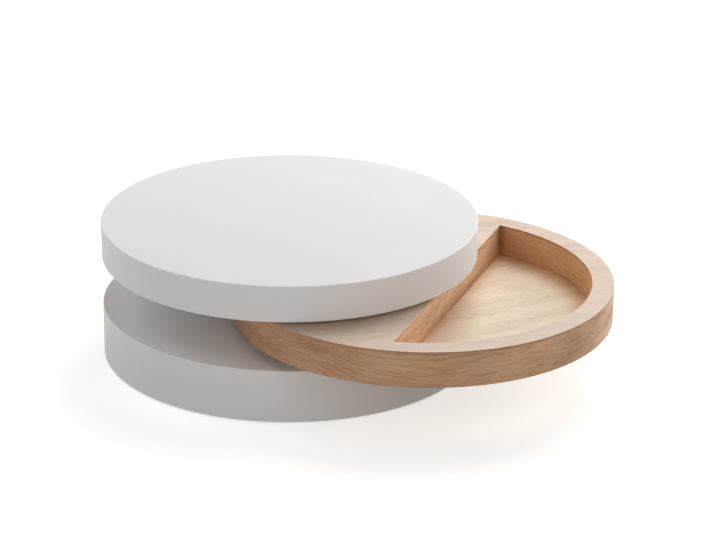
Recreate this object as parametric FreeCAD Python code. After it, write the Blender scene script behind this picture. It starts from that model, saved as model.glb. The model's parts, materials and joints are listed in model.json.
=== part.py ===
import FreeCAD, Part
import math
import os

# Swivel coffee table: a white drum on the floor, an oak tray that turns on an off-centre
# pivot, and a white top above it. The tray has a D-shaped storage pocket on the side away
# from the pivot, and is swung nearly half a turn out here, so that the pocket is open.
# Millimetres, +Z up, origin at the centre of the drum on the floor, pivot towards +X.

# ---- Driving dimensions -------------------------------------------------------------------

# The three discs
disc_radius = 450.0            # drum, tray and top are equally large
base_height = 127.0
tray_height = 86.0
top_height = 87.0
pivot_offset = 172.0           # from the drum's centre to the pivot
half_turn = 180.0              # degrees; the tray then stands straight out along +X
swing_angle = 174.6            # degrees that the tray is turned out from above the drum
lacquered_edge_radius = 2.5    # round-over of the white discs' outer edges
oak_edge_radius = 1.0          # round-over of the tray's outer edges

# Drum and top: panels above and below a bent band, on a frame of halved ribs
panel_thickness = 12.0
band_thickness = 9.0
rib_thickness = 15.0
rib_end_gap = 1.0              # between a rib's end and the band
halving_gap = 0.2              # sideways play of a halved joint, each side
pivot_block_width = 220.0
far_rib_offset = 230.0         # extra cross rib on the side away from the pivot

# Tray
tray_floor_thickness = 6.0
tray_deck_thickness = 9.0
tray_band_thickness = 9.0
rim_width = 52.0               # from the tray's outer face to the pocket's curved wall
divider_offset = 68.0          # from the tray's centre to the pocket's straight wall
divider_thickness = 15.0
pocket_wall_thickness = 9.0
lipping_thickness = 2.0        # solid oak on the outer face and round the pocket
pocket_edge_radius = 0.8       # round-over of the pocket's upper edge
rim_block_count = 7
rim_block_width = 18.0
rim_block_pitch = 20.0         # degrees
rim_block_gap = 0.5

# Glides under the drum
glide_count = 8                # on a circle, besides one in the middle
glide_inset = 50.0             # from the drum's face to the glides' circle
glide_first_angle = 22.5       # degrees from +X
glide_radius = 20.0
glide_height = 3.0
glide_chamfer = 0.8
glide_stem_radius = 4.0
glide_stem_length = 9.0
glide_stem_gap = 0.1           # round a glide's stem in the panel

# Pivot column and its two flanges
column_radius = 30.0
column_wall = 4.0
flange_radius = 100.0
flange_thickness = 6.0
socket_wall = 6.0
socket_cap = 8.0
lower_socket_depth = 60.0      # below the drum's upper face
upper_socket_depth = 45.0      # above the top's lower face
socket_gap = 0.3               # round the sockets in the wood

# Tie bolt, M12, from a hole under the drum up into the upper flange
tie_bolt_radius = 6.0
tie_bolt_hole_radius = 6.5
tie_head_sides = 6
tie_head_flats = 19.0
tie_head_height = 7.5
tie_washer_radius = 15.0
tie_washer_thickness = 3.0
access_radius = 16.0
plug_lip_radius = 20.0
plug_lip_thickness = 1.5
plug_depth = 8.0
plug_wall = 2.0

# Flange screws, M8, and the tray hub's screws, M6, all countersunk into threaded inserts
flange_screw_count = 6
flange_screw_circle_radius = 85.0
flange_screw_first_angle = 30.0  # degrees from +X
flange_screw_radius = 4.0
flange_screw_head_radius = 8.0
flange_screw_length = 35.0
flange_insert_radius = 6.0
flange_insert_length = 20.0
hub_screw_count = 8
hub_screw_circle_radius = 85.0
hub_screw_first_angle = 22.5   # degrees from +X
hub_screw_radius = 3.0
hub_screw_head_radius = 6.0
hub_screw_length = 25.0
hub_insert_radius = 4.5
hub_insert_length = 15.0
screw_hole_gap = 0.5           # round a screw's shank
insert_tip_room = 5.0          # hole left beyond an insert
socket_key_radius = 2.5        # round driver recess in a screw's head
socket_key_depth = 2.0

# Tray hub, its two bushes and the washer that keeps the tray down
hub_plate_thickness = 5.0
hub_wall = 8.0
hub_gap = 0.3                  # round the hub's tube in the wood
bush_wall = 4.0
bush_length = 25.0
bush_flange_radius = 40.0
bush_flange_thickness = 2.0
bush_running_gap = 0.05        # between bush and column, on the radius
washer_radius = 55.0
washer_thickness = 2.5
washer_bore_gap = 0.1          # round the column
washer_running_gap = 0.5       # between the washer and the upper bush

# Thrust ball bearing between the lower flange and the hub
ball_count = 24
ball_radius = 4.0
ball_circle_radius = 60.0
race_half_width = 10.0
race_floor = 1.5               # metal left under the groove
race_face_gap = 4.0            # between the faces of the two races
groove_gap = 0.1               # between a ball and its groove
cage_half_width = 8.0
cage_thickness = 2.0
cage_hole_gap = 0.2            # between a ball and its cage hole

# ---- Levels and radii that follow ---------------------------------------------------------

base_bottom = glide_height
base_top = base_bottom + base_height
flange_top = base_top + flange_thickness
race_thickness = race_floor + ball_radius - race_face_gap / 2
ball_level = flange_top + race_thickness + race_face_gap / 2
hub_bottom = ball_level + race_face_gap / 2 + race_thickness
tray_bottom = hub_bottom + hub_plate_thickness
tray_top = tray_bottom + tray_height
bush_flange_top = tray_top + bush_flange_thickness
washer_bottom = bush_flange_top + washer_running_gap
upper_flange_bottom = washer_bottom + washer_thickness
top_bottom = upper_flange_bottom + flange_thickness
top_top = top_bottom + top_height

tray_centre = 2 * pivot_offset
tray_floor_top = tray_bottom + tray_floor_thickness
tray_deck_bottom = tray_top - tray_deck_thickness
tray_panel_radius = disc_radius - lipping_thickness
tray_band_inner = tray_panel_radius - tray_band_thickness
pocket_radius = disc_radius - rim_width
pocket_back_radius = pocket_radius + lipping_thickness
divider_back_plane = divider_offset - lipping_thickness
divider_far_plane = divider_back_plane - divider_thickness

socket_outer_radius = column_radius + socket_wall
lower_socket_bottom = base_top - lower_socket_depth
upper_socket_top = top_bottom + upper_socket_depth
bush_outer_radius = column_radius + bush_running_gap + bush_wall
hub_outer_radius = bush_outer_radius + hub_wall
block_half = pivot_block_width / 2

UP = FreeCAD.Vector(0, 0, 1)
DOWN = FreeCAD.Vector(0, 0, -1)
SAME = 1e-6                    # lengths closer than this are equal

os.makedirs("parts", exist_ok=True)


# ---- Shapes that the sub-parts share ------------------------------------------------------

def disc(radius, bottom, top, x=0.0, y=0.0):
    return Part.makeCylinder(radius, top - bottom, FreeCAD.Vector(x, y, bottom), UP)


def ring(outer, inner, bottom, top, x=0.0, y=0.0):
    return disc(outer, bottom, top, x, y).cut(disc(inner, bottom, top, x, y))


def box(x_low, x_high, y_low, y_high, bottom, top):
    corner = FreeCAD.Vector(x_low, y_low, bottom)
    return Part.makeBox(x_high - x_low, y_high - y_low, top - bottom, corner)


def on_circle(count, radius, x=0.0, first_angle=0.0):
    """Points spaced evenly on a circle about (x, 0)."""
    points = []
    for index in range(count):
        angle = math.radians(first_angle) + 2 * math.pi * index / count
        points.append((x + radius * math.cos(angle), radius * math.sin(angle)))
    return points


def cut_all(shape, tools):
    return shape.cut(Part.makeCompound(tools))


def round_outer_edge(shape, level, radius, size):
    """Round the circular edges of a disc that lie at one level and one radius."""
    edges = []
    for edge in shape.Edges:
        curve = edge.Curve
        if isinstance(curve, Part.Circle) and abs(curve.Radius - radius) < SAME:
            if abs(curve.Center.z - level) < SAME:
                edges.append(edge)
    return shape.makeFillet(size, edges)


def countersunk_screw(x, y, head_level, direction, radius, head_radius, length):
    """A countersunk screw: its flat head at head_level, its shank along direction."""
    start = FreeCAD.Vector(x, y, head_level)
    head = Part.makeCone(head_radius, radius, head_radius - radius, start, direction)
    shank = Part.makeCylinder(radius, length, start, direction)
    recess = Part.makeCylinder(socket_key_radius, socket_key_depth, start, direction)
    return head.fuse(shank).cut(recess)


def countersunk_hole(x, y, head_level, direction, radius, head_radius, thickness):
    """The hole in a plate that a countersunk screw sits in."""
    start = FreeCAD.Vector(x, y, head_level)
    cone = Part.makeCone(head_radius, radius, head_radius - radius, start, direction)
    return cone.fuse(Part.makeCylinder(radius, thickness, start, direction))


def export(name, shape):
    shape.exportStep("parts/" + name + ".step")


def export_swung(name, shape):
    """Write a piece of the tray, turned about the pivot to where the tray stands."""
    swung = shape.copy()
    swung.rotate(FreeCAD.Vector(pivot_offset, 0, 0), UP, half_turn - swing_angle)
    export(name, swung)


# Screw places round the pivot, shared by plates, panels, blocks and inserts
flange_screw_places = on_circle(flange_screw_count, flange_screw_circle_radius,
                                pivot_offset, flange_screw_first_angle)
hub_screw_places = on_circle(hub_screw_count, hub_screw_circle_radius,
                             pivot_offset, hub_screw_first_angle)


def flange_screw_holes(bottom, top):
    radius = flange_screw_radius + screw_hole_gap
    return [disc(radius, bottom, top, x, y) for x, y in flange_screw_places]


def insert_holes(places, radius, low, high):
    return [disc(radius, low, high, x, y) for x, y in places]


def insert_sleeves(places, outer, inner, low, high):
    return Part.makeCompound([ring(outer, inner, low, high, x, y) for x, y in places])


# ---- Frame of halved ribs in the drum, the top and the tray -------------------------------

def long_rib_places():
    side = block_half + rib_thickness / 2
    return [-side, side]


def cross_rib_places(centre):
    side = block_half + rib_thickness / 2
    return [centre - side, centre + side]


def long_ribs(cross_places, x_low, x_high, trim, bottom, top):
    """Ribs along X, notched from above where the cross ribs pass."""
    middle = (bottom + top) / 2
    notch_half = rib_thickness / 2 + halving_gap
    ribs = []
    for y in long_rib_places():
        half = rib_thickness / 2
        rib = box(x_low, x_high, y - half, y + half, bottom, top).common(trim)
        for x in cross_places:
            notch = box(x - notch_half, x + notch_half, y - rib_thickness, y + rib_thickness, middle, top)
            rib = rib.cut(notch)
        ribs.append(rib)
    return Part.makeCompound(ribs)


def cross_ribs(cross_places, y_reach, trim, bottom, top):
    """Ribs along Y, notched from below where the long ribs pass."""
    middle = (bottom + top) / 2
    notch_half = rib_thickness / 2 + halving_gap
    ribs = []
    for x in cross_places:
        half = rib_thickness / 2
        rib = box(x - half, x + half, -y_reach, y_reach, bottom, top).common(trim)
        for y in long_rib_places():
            notch = box(x - rib_thickness, x + rib_thickness, y - notch_half, y + notch_half, bottom, middle)
            rib = rib.cut(notch)
        ribs.append(rib)
    return Part.makeCompound(ribs)


def drum_ribs(name, bottom, top):
    """The rib frame of a closed white disc, between its two panels."""
    reach = disc_radius - band_thickness - rib_end_gap
    trim = disc(reach, bottom, top)
    cross_places = [-far_rib_offset] + cross_rib_places(pivot_offset)
    export(name + "_long_ribs", long_ribs(cross_places, -reach, reach, trim, bottom, top))
    export(name + "_cross_ribs", cross_ribs(cross_places, reach, trim, bottom, top))


# ---- Drum ---------------------------------------------------------------------------------

def base_top_panel():
    bottom = base_top - panel_thickness
    panel = disc(disc_radius, bottom, base_top)
    panel = round_outer_edge(panel, base_top, disc_radius, lacquered_edge_radius)
    holes = flange_screw_holes(bottom, base_top)
    holes.append(disc(socket_outer_radius + socket_gap, bottom, base_top, pivot_offset))
    return cut_all(panel, holes)


def base_side_band():
    low = base_bottom + panel_thickness
    high = base_top - panel_thickness
    return ring(disc_radius, disc_radius - band_thickness, low, high)


def glide_places():
    circle_radius = disc_radius - glide_inset
    return [(0.0, 0.0)] + on_circle(glide_count, circle_radius, 0.0, glide_first_angle)


def base_bottom_panel():
    top = base_bottom + panel_thickness
    panel = disc(disc_radius, base_bottom, top)
    panel = round_outer_edge(panel, base_bottom, disc_radius, lacquered_edge_radius)
    stem_top = base_bottom + glide_stem_length
    radius = glide_stem_radius + glide_stem_gap
    holes = [disc(radius, base_bottom, stem_top, x, y) for x, y in glide_places()]
    holes.append(disc(access_radius, base_bottom, top, pivot_offset))
    return cut_all(panel, holes)


def base_pivot_block():
    low = base_bottom + panel_thickness
    high = base_top - panel_thickness
    block = box(pivot_offset - block_half, pivot_offset + block_half, -block_half, block_half, low, high)
    socket_low = lower_socket_bottom - socket_cap
    holes = [disc(socket_outer_radius + socket_gap, socket_low, high, pivot_offset)]
    holes.append(disc(access_radius, low, socket_low, pivot_offset))
    insert_low = high - flange_insert_length - insert_tip_room
    holes += insert_holes(flange_screw_places, flange_insert_radius, insert_low, high)
    return cut_all(block, holes)


def base_inserts():
    high = base_top - panel_thickness
    low = high - flange_insert_length
    return insert_sleeves(flange_screw_places, flange_insert_radius, flange_screw_radius, low, high)


def base_glides():
    glides = []
    for x, y in glide_places():
        pad = disc(glide_radius, 0.0, glide_height, x, y)
        pad_edges = [edge for edge in pad.Edges if isinstance(edge.Curve, Part.Circle)]
        lower = [edge for edge in pad_edges if abs(edge.Curve.Center.z) < SAME]
        pad = pad.makeChamfer(glide_chamfer, lower)
        stem = disc(glide_stem_radius, glide_height, glide_height + glide_stem_length, x, y)
        glides.append(pad.fuse(stem).removeSplitter())
    return Part.makeCompound(glides)


def base_access_plug():
    lip = disc(plug_lip_radius, base_bottom - plug_lip_thickness, base_bottom, pivot_offset)
    cup = disc(access_radius, base_bottom, base_bottom + plug_depth, pivot_offset)
    hollow = disc(access_radius - plug_wall, base_bottom, base_bottom + plug_depth, pivot_offset)
    return lip.fuse(cup.cut(hollow))


# ---- Pivot column -------------------------------------------------------------------------

def lower_flange():
    socket_low = lower_socket_bottom - socket_cap
    plate = disc(flange_radius, base_top, flange_top, pivot_offset)
    socket = disc(socket_outer_radius, socket_low, base_top, pivot_offset)
    holes = [disc(column_radius, lower_socket_bottom, flange_top, pivot_offset)]
    holes.append(disc(tie_bolt_hole_radius, socket_low, lower_socket_bottom, pivot_offset))
    for x, y in flange_screw_places:
        holes.append(countersunk_hole(x, y, flange_top, DOWN, flange_screw_radius,
                                      flange_screw_head_radius, flange_thickness))
    return cut_all(plate.fuse(socket), holes)


def upper_flange():
    socket_high = upper_socket_top + socket_cap
    plate = disc(flange_radius, upper_flange_bottom, top_bottom, pivot_offset)
    socket = disc(socket_outer_radius, top_bottom, socket_high, pivot_offset)
    holes = [disc(column_radius, upper_flange_bottom, upper_socket_top, pivot_offset)]
    holes.append(disc(tie_bolt_radius, upper_socket_top, socket_high, pivot_offset))
    for x, y in flange_screw_places:
        holes.append(countersunk_hole(x, y, upper_flange_bottom, UP, flange_screw_radius,
                                      flange_screw_head_radius, flange_thickness))
    return cut_all(plate.fuse(socket), holes)


def flange_screws(head_level, direction):
    screws = []
    for x, y in flange_screw_places:
        screws.append(countersunk_screw(x, y, head_level, direction, flange_screw_radius,
                                        flange_screw_head_radius, flange_screw_length))
    return Part.makeCompound(screws)


def pivot_column():
    inner = column_radius - column_wall
    return ring(column_radius, inner, lower_socket_bottom, upper_socket_top, pivot_offset)


def tie_washer_top():
    return lower_socket_bottom - socket_cap


def tie_washer():
    top = tie_washer_top()
    return ring(tie_washer_radius, tie_bolt_hole_radius, top - tie_washer_thickness, top, pivot_offset)


def tie_bolt():
    head_top = tie_washer_top() - tie_washer_thickness
    head_bottom = head_top - tie_head_height
    corner_radius = tie_head_flats / 2 / math.cos(math.pi / tie_head_sides)
    corners = []
    for x, y in on_circle(tie_head_sides, corner_radius, pivot_offset):
        corners.append(FreeCAD.Vector(x, y, head_bottom))
    outline = Part.makePolygon(corners + [corners[0]])
    head = Part.Face(outline).extrude(FreeCAD.Vector(0, 0, tie_head_height))
    shank = disc(tie_bolt_radius, head_top, upper_socket_top + socket_cap, pivot_offset)
    return head.fuse(shank)


def anti_lift_washer():
    bore = column_radius + washer_bore_gap
    return ring(washer_radius, bore, washer_bottom, upper_flange_bottom, pivot_offset)


# ---- Thrust bearing -----------------------------------------------------------------------

def bearing_race(bottom, top):
    """A flat ring with the ball groove turned into it."""
    outer = ball_circle_radius + race_half_width
    inner = ball_circle_radius - race_half_width
    race = ring(outer, inner, bottom, top, pivot_offset)
    centre = FreeCAD.Vector(pivot_offset, 0, ball_level)
    groove = Part.makeTorus(ball_circle_radius, ball_radius + groove_gap, centre, UP)
    return race.cut(groove)


def ball_places():
    return on_circle(ball_count, ball_circle_radius, pivot_offset)


def bearing_cage():
    low = ball_level - cage_thickness / 2
    high = ball_level + cage_thickness / 2
    outer = ball_circle_radius + cage_half_width
    inner = ball_circle_radius - cage_half_width
    cage = ring(outer, inner, low, high, pivot_offset)
    return cut_all(cage, [disc(ball_radius + cage_hole_gap, low, high, x, y) for x, y in ball_places()])


def bearing_balls():
    balls = []
    for x, y in ball_places():
        balls.append(Part.makeSphere(ball_radius, FreeCAD.Vector(x, y, ball_level)))
    return Part.makeCompound(balls)


# ---- Top ----------------------------------------------------------------------------------

def top_lower_panel():
    high = top_bottom + panel_thickness
    panel = disc(disc_radius, top_bottom, high)
    panel = round_outer_edge(panel, top_bottom, disc_radius, lacquered_edge_radius)
    holes = flange_screw_holes(top_bottom, high)
    holes.append(disc(socket_outer_radius + socket_gap, top_bottom, high, pivot_offset))
    return cut_all(panel, holes)


def top_side_band():
    low = top_bottom + panel_thickness
    high = top_top - panel_thickness
    return ring(disc_radius, disc_radius - band_thickness, low, high)


def top_upper_panel():
    panel = disc(disc_radius, top_top - panel_thickness, top_top)
    return round_outer_edge(panel, top_top, disc_radius, lacquered_edge_radius)


def top_pivot_block():
    low = top_bottom + panel_thickness
    high = top_top - panel_thickness
    block = box(pivot_offset - block_half, pivot_offset + block_half, -block_half, block_half, low, high)
    holes = [disc(socket_outer_radius + socket_gap, low, upper_socket_top + socket_cap, pivot_offset)]
    insert_high = low + flange_insert_length + insert_tip_room
    holes += insert_holes(flange_screw_places, flange_insert_radius, low, insert_high)
    return cut_all(block, holes)


def top_inserts():
    low = top_bottom + panel_thickness
    high = low + flange_insert_length
    return insert_sleeves(flange_screw_places, flange_insert_radius, flange_screw_radius, low, high)


# ---- Tray, shaped half a turn out and swung into place when it is written -----------------

def half_space(plane, bottom, top):
    """Everything on the pocket's side of a plane across the tray."""
    low = tray_centre + plane
    return box(low, low + 2 * disc_radius, -disc_radius, disc_radius, bottom, top)


def pocket_shape(radius, plane, bottom, top):
    """The D that lies inside a circle about the tray's centre and beyond a plane."""
    return disc(radius, bottom, top, tray_centre).common(half_space(plane, bottom, top))


def hub_screw_holes(bottom, top):
    radius = hub_screw_radius + screw_hole_gap
    return [disc(radius, bottom, top, x, y) for x, y in hub_screw_places]


def tray_floor_panel():
    panel = disc(tray_panel_radius, tray_bottom, tray_floor_top, tray_centre)
    holes = hub_screw_holes(tray_bottom, tray_floor_top)
    holes.append(disc(hub_outer_radius + hub_gap, tray_bottom, tray_floor_top, pivot_offset))
    return cut_all(panel, holes)


def tray_deck():
    deck = disc(tray_panel_radius, tray_deck_bottom, tray_top, tray_centre)
    pocket = pocket_shape(pocket_back_radius, divider_back_plane, tray_deck_bottom, tray_top)
    hub_hole = disc(hub_outer_radius + hub_gap, tray_deck_bottom, tray_top, pivot_offset)
    return cut_all(deck, [pocket, hub_hole])


def tray_outer_band():
    return ring(tray_panel_radius, tray_band_inner, tray_floor_top, tray_deck_bottom, tray_centre)


def tray_edge_lipping():
    band = ring(disc_radius, tray_panel_radius, tray_bottom, tray_top, tray_centre)
    band = round_outer_edge(band, tray_top, disc_radius, oak_edge_radius)
    return round_outer_edge(band, tray_bottom, disc_radius, oak_edge_radius)


def tray_pocket_wall():
    outer = pocket_back_radius + pocket_wall_thickness
    wall = ring(outer, pocket_back_radius, tray_floor_top, tray_deck_bottom, tray_centre)
    return wall.common(half_space(divider_back_plane, tray_floor_top, tray_deck_bottom))


def tray_divider():
    low = tray_centre + divider_far_plane
    high = tray_centre + divider_back_plane
    board = box(low, high, -disc_radius, disc_radius, tray_floor_top, tray_deck_bottom)
    return board.common(disc(tray_band_inner, tray_floor_top, tray_deck_bottom, tray_centre))


def pocket_upper_edges(lining):
    """The curved edge and the straight edge round the pocket, level with the deck."""
    edges = []
    for edge in lining.Edges:
        ends = [vertex.Point for vertex in edge.Vertexes]
        level = all(abs(point.z - tray_top) < SAME for point in ends)
        curved = isinstance(edge.Curve, Part.Circle) and abs(edge.Curve.Radius - pocket_radius) < SAME
        straight = all(abs(point.x - tray_centre - divider_offset) < SAME for point in ends)
        if level and (curved or straight):
            edges.append(edge)
    return edges


def tray_pocket_lining():
    outside = pocket_shape(pocket_back_radius, divider_back_plane, tray_floor_top, tray_top)
    inside = pocket_shape(pocket_radius, divider_offset, tray_floor_top, tray_top)
    lining = outside.cut(inside)
    return lining.makeFillet(pocket_edge_radius, pocket_upper_edges(lining))


def tray_rim_blocks():
    inner = pocket_back_radius + pocket_wall_thickness + rim_block_gap
    outer = tray_band_inner - rim_block_gap
    half = rim_block_width / 2
    blocks = []
    for index in range(rim_block_count):
        angle = (index - (rim_block_count - 1) / 2) * rim_block_pitch
        block = box(inner, outer, -half, half, tray_floor_top, tray_deck_bottom)
        block.rotate(FreeCAD.Vector(0, 0, 0), UP, angle)
        block.translate(FreeCAD.Vector(tray_centre, 0, 0))
        blocks.append(block)
    return Part.makeCompound(blocks)


def tray_ribs():
    reach = tray_band_inner - rib_end_gap
    trim = disc(reach, tray_floor_top, tray_deck_bottom, tray_centre)
    cross_places = cross_rib_places(pivot_offset)
    low = tray_centre - reach
    high = tray_centre + divider_far_plane
    ribs = long_ribs(cross_places, low, high, trim, tray_floor_top, tray_deck_bottom)
    export_swung("tray_long_ribs", ribs)
    export_swung("tray_cross_ribs", cross_ribs(cross_places, reach, trim, tray_floor_top, tray_deck_bottom))


def tray_pivot_block():
    low = tray_floor_top
    high = tray_deck_bottom
    block = box(pivot_offset - block_half, pivot_offset + block_half, -block_half, block_half, low, high)
    holes = [disc(hub_outer_radius + hub_gap, low, high, pivot_offset)]
    insert_high = low + hub_insert_length + insert_tip_room
    holes += insert_holes(hub_screw_places, hub_insert_radius, low, insert_high)
    return cut_all(block, holes)


def tray_inserts():
    high = tray_floor_top + hub_insert_length
    return insert_sleeves(hub_screw_places, hub_insert_radius, hub_screw_radius, tray_floor_top, high)


def tray_hub():
    plate = disc(flange_radius, hub_bottom, tray_bottom, pivot_offset)
    tube = disc(hub_outer_radius, tray_bottom, tray_top, pivot_offset)
    holes = [disc(bush_outer_radius, hub_bottom, tray_top, pivot_offset)]
    for x, y in hub_screw_places:
        holes.append(countersunk_hole(x, y, hub_bottom, UP, hub_screw_radius,
                                      hub_screw_head_radius, hub_plate_thickness))
    return cut_all(plate.fuse(tube), holes)


def hub_screws():
    screws = []
    for x, y in hub_screw_places:
        screws.append(countersunk_screw(x, y, hub_bottom, UP, hub_screw_radius,
                                        hub_screw_head_radius, hub_screw_length))
    return Part.makeCompound(screws)


def hub_bush(sleeve_low, flange_low):
    """A flanged bush: its sleeve runs from sleeve_low, its flange from flange_low."""
    bore = column_radius + bush_running_gap
    sleeve = ring(bush_outer_radius, bore, sleeve_low, sleeve_low + bush_length, pivot_offset)
    flange = ring(bush_flange_radius, bore, flange_low, flange_low + bush_flange_thickness, pivot_offset)
    return sleeve.fuse(flange).removeSplitter()


# ---- Write one file for each sub-part -----------------------------------------------------

export("base_top_panel", base_top_panel())
export("base_side_band", base_side_band())
export("base_bottom_panel", base_bottom_panel())
export("base_pivot_block", base_pivot_block())
export("base_inserts", base_inserts())
export("base_glides", base_glides())
export("base_access_plug", base_access_plug())
drum_ribs("base", base_bottom + panel_thickness, base_top - panel_thickness)

export("lower_flange", lower_flange())
export("lower_flange_screws", flange_screws(flange_top, DOWN))
export("pivot_column", pivot_column())
export("upper_flange", upper_flange())
export("upper_flange_screws", flange_screws(upper_flange_bottom, UP))
export("tie_bolt", tie_bolt())
export("tie_washer", tie_washer())
export("anti_lift_washer", anti_lift_washer())

export("bearing_lower_race", bearing_race(flange_top, flange_top + race_thickness))
export_swung("bearing_upper_race", bearing_race(hub_bottom - race_thickness, hub_bottom))
export("bearing_cage", bearing_cage())
export("bearing_balls", bearing_balls())

export("top_lower_panel", top_lower_panel())
export("top_side_band", top_side_band())
export("top_upper_panel", top_upper_panel())
export("top_pivot_block", top_pivot_block())
export("top_inserts", top_inserts())
drum_ribs("top", top_bottom + panel_thickness, top_top - panel_thickness)

export_swung("tray_floor_panel", tray_floor_panel())
export_swung("tray_deck", tray_deck())
export_swung("tray_outer_band", tray_outer_band())
export_swung("tray_edge_lipping", tray_edge_lipping())
export_swung("tray_pocket_wall", tray_pocket_wall())
export_swung("tray_divider", tray_divider())
export_swung("tray_pocket_lining", tray_pocket_lining())
export_swung("tray_rim_blocks", tray_rim_blocks())
tray_ribs()
export_swung("tray_pivot_block", tray_pivot_block())
export_swung("tray_inserts", tray_inserts())
export_swung("tray_hub", tray_hub())
export_swung("hub_screws", hub_screws())
export_swung("hub_bush_lower", hub_bush(hub_bottom, hub_bottom - bush_flange_thickness))
export_swung("hub_bush_upper", hub_bush(tray_top - bush_length, tray_top))
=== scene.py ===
import json
import math

import bpy
from mathutils import Matrix, Vector
from mathutils.geometry import delaunay_2d_cdt


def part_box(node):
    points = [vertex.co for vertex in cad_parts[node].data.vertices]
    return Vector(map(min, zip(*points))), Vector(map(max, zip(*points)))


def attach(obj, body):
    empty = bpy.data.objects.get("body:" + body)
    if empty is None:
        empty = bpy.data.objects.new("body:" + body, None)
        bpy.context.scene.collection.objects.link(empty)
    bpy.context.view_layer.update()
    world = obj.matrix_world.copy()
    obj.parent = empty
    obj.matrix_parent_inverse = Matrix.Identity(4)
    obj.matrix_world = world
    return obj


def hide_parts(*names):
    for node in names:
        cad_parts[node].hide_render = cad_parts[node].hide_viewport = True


# Swivel coffee table: a white lacquered drum and top with an oak tray between them, which has a
# D-shaped pocket and turns about a pivot. Metres, +Z up, origin at the drum's centre on the
# floor, pivot towards +X.

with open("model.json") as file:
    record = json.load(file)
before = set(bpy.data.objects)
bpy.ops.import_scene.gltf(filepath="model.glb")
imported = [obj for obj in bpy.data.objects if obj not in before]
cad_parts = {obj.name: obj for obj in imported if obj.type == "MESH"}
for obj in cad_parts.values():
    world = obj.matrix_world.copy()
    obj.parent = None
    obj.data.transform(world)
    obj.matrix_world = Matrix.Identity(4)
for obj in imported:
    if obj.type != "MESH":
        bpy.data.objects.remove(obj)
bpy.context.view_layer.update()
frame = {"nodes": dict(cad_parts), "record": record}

# ---- Sizes, read from the frame where it has them --------------------------------------------

MM = 0.001

disc_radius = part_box("base_side_band")[1].y
drum_low, drum_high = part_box("base_bottom_panel")[0].z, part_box("base_top_panel")[1].z
top_low, top_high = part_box("top_lower_panel")[0].z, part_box("top_upper_panel")[1].z
lipping_low, lipping_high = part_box("tray_edge_lipping")
deck_low, deck_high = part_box("tray_deck")
floor_low, floor_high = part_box("tray_floor_panel")
lining_low, lining_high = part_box("tray_pocket_lining")
column_low, column_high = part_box("pivot_column")
glides_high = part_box("base_glides")[1]

pivot_x = (column_low.x + column_high.x) / 2
tray_place = (lipping_low + lipping_high) / 2
tray_reach = math.hypot(tray_place.x - pivot_x, tray_place.y)     # from pivot to tray's centre
swing = math.atan2(tray_place.y, tray_place.x - pivot_x)          # from straight out along +X
tray_x = pivot_x + tray_reach                   # the tray's centre when it stands straight out
panel_radius = (deck_high.x - deck_low.x) / 2   # the tray's panels, inside its lipping
lining_thickness = disc_radius - panel_radius
pocket_back_radius = lining_high.x - tray_place.x      # behind the pocket's curved lining
corner_angle = math.acos((lining_low.x - tray_place.x) / pocket_back_radius) - swing
pocket_back_plane = pocket_back_radius * math.cos(corner_angle)   # behind its straight lining

lacquered_edge = 2.5 * MM      # round-over of the white discs
oak_edge = 1.0 * MM            # round-over of the tray's outer edges
pocket_edge = 0.8 * MM         # round-over of the pocket's upper edge
band_thickness = 9.0 * MM      # the white discs' side bands

# Radii of holes, and of the circles on which holes lie.
socket_hole = 36.3 * MM        # round the pivot's sockets
hub_hole = 42.35 * MM          # round the tray's hub
access_hole = 16.0 * MM        # for the tie bolt
flange_screw_hole = 4.5 * MM
hub_screw_hole = 3.5 * MM
glide_stem_hole = 4.1 * MM
screw_circle = 85.0 * MM       # both flanges' and the hub's screws, round the pivot
glide_circle = 400.0 * MM      # round the drum's centre, where there is one more glide

# How many there are on a circle, and where the first one is.
flange_screws, flange_screw_start = 6, math.radians(30.0)
hub_screws, hub_screw_start = 8, math.radians(22.5)
glides, glide_start = 8, math.radians(22.5)

rim_segments = 360             # round a whole disc
arc_segments = 240             # round the pocket's arc
straight_segments = 60         # along the pocket's straight side
hole_segments = 72
round_steps = 6                # across a rounded edge

# ---- Mesh building ---------------------------------------------------------------------------

QUARTER_TURN = math.pi / 2

# The tilt of a wall's surface: how much of it faces out from the outline, and how much up.
OUTWARD, INWARD, UPWARD, DOWNWARD = (1.0, 0.0), (-1.0, 0.0), (0.0, 1.0), (0.0, -1.0)

INSIDE, EPSILON = 1, 1e-9      # for delaunay_2d_cdt: the triangles inside the loops, to 1e-9 m


class Outline:
    """A closed outline seen from above, which can be drawn in by an inset.

    at(inset) gives its points, counter-clockwise. outward holds, for each stretch between two
    points, the outward directions at the stretch's two ends."""

    def __init__(self, at, outward):
        self.at = at
        self.outward = outward


def circle(centre_x, centre_y, radius, segments):
    angles = [2 * math.pi * index / segments for index in range(segments)]
    directions = [(math.cos(angle), math.sin(angle)) for angle in angles]

    def at(inset):
        reach = radius - inset
        return [(centre_x + reach * x, centre_y + reach * y) for x, y in directions]

    following = directions[1:] + directions[:1]
    return Outline(at, list(zip(directions, following)))


def round_hole(x, y, radius):
    return circle(x, y, radius, hole_segments)


def holes_on_circle(count, radius, centre_x, first_angle, hole_radius):
    """Evenly spaced round holes on a circle round (centre_x, 0)."""
    holes = []
    for index in range(count):
        angle = first_angle + 2 * math.pi * index / count
        x, y = centre_x + radius * math.cos(angle), radius * math.sin(angle)
        holes.append(round_hole(x, y, hole_radius))
    return holes


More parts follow.
